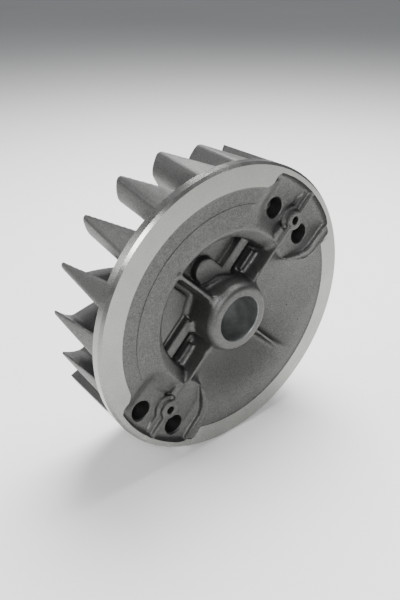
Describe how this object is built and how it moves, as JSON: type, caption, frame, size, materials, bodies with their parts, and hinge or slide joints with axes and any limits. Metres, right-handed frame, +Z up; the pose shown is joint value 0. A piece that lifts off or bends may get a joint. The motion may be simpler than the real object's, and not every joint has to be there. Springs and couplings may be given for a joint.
{
  "type": "flywheel",
  "caption": "Finned die-cast flywheel of a small engine, with a ribbed crankcase face, a keyed crank bore, a magnet pack in the rim and sprung starter pawls.",
  "frame": {"origin": "where the crank bore's axis meets the plane of the machined rim face", "axes": "the wheel stands on edge: -Y runs along the bore out of the crankcase face, +Y towards the fan, and +Z is up, halfway between the counterweight pad (+X and +Z) and the short rib (-X and +Z)"},
  "size_m": [0.099, 0.0329, 0.099],
  "materials": {
    "cast_aluminium": "bead-blasted die casting with a fine sparkle; the rim face and chamfer are turned bright",
    "iron": "as-cast slug, sealed inside the casting",
    "magnet": "dark sintered ferrite, dull",
    "lamination_steel": "ground edges of stacked sheet steel",
    "bright_steel": "zinc-plated, satin",
    "hardened_steel": "case-hardened and lightly oiled, dark satin",
    "spring_steel": "drawn spring wire, satin",
    "black_steel": "black-oxide screw, satin"
  },
  "bodies": {
    "flywheel": {"wheel_casting": "cast_aluminium", "fan_blades": "cast_aluminium", "counterweight": "iron", "ignition_magnet": "magnet", "leading_pole_shoe": "lamination_steel", "trailing_pole_shoe": "lamination_steel", "pole_shoe_rivets": "bright_steel", "pawl_spring_a": "spring_steel", "pawl_spring_b": "spring_steel", "pawl_bush_a": "bright_steel", "pawl_bush_b": "bright_steel", "pawl_washer_a": "bright_steel", "pawl_washer_b": "bright_steel", "pawl_screw_a": "black_steel", "pawl_screw_b": "black_steel"},
    "pawl_a": {"starter_pawl_a": "hardened_steel"},
    "pawl_b": {"starter_pawl_b": "hardened_steel"}
  },
  "joints": [
    {"name": "pawl_a_swing", "type": "hinge", "parent": "flywheel", "child": "pawl_a", "pos_m": [-0.01485, 0.0217, 0.01485], "axis": [0, 1, 0], "range_deg": [0, 20], "stiffness_Nm_per_rad": 0.01, "springref_deg": -40.11, "deforming": ["pawl_spring_a"]},
    {"name": "pawl_b_swing", "type": "hinge", "parent": "flywheel", "child": "pawl_b", "pos_m": [0.01485, 0.0217, -0.01485], "axis": [0, 1, 0], "range_deg": [0, 20], "stiffness_Nm_per_rad": 0.01, "springref_deg": -40.11, "deforming": ["pawl_spring_b"]}
  ]
}
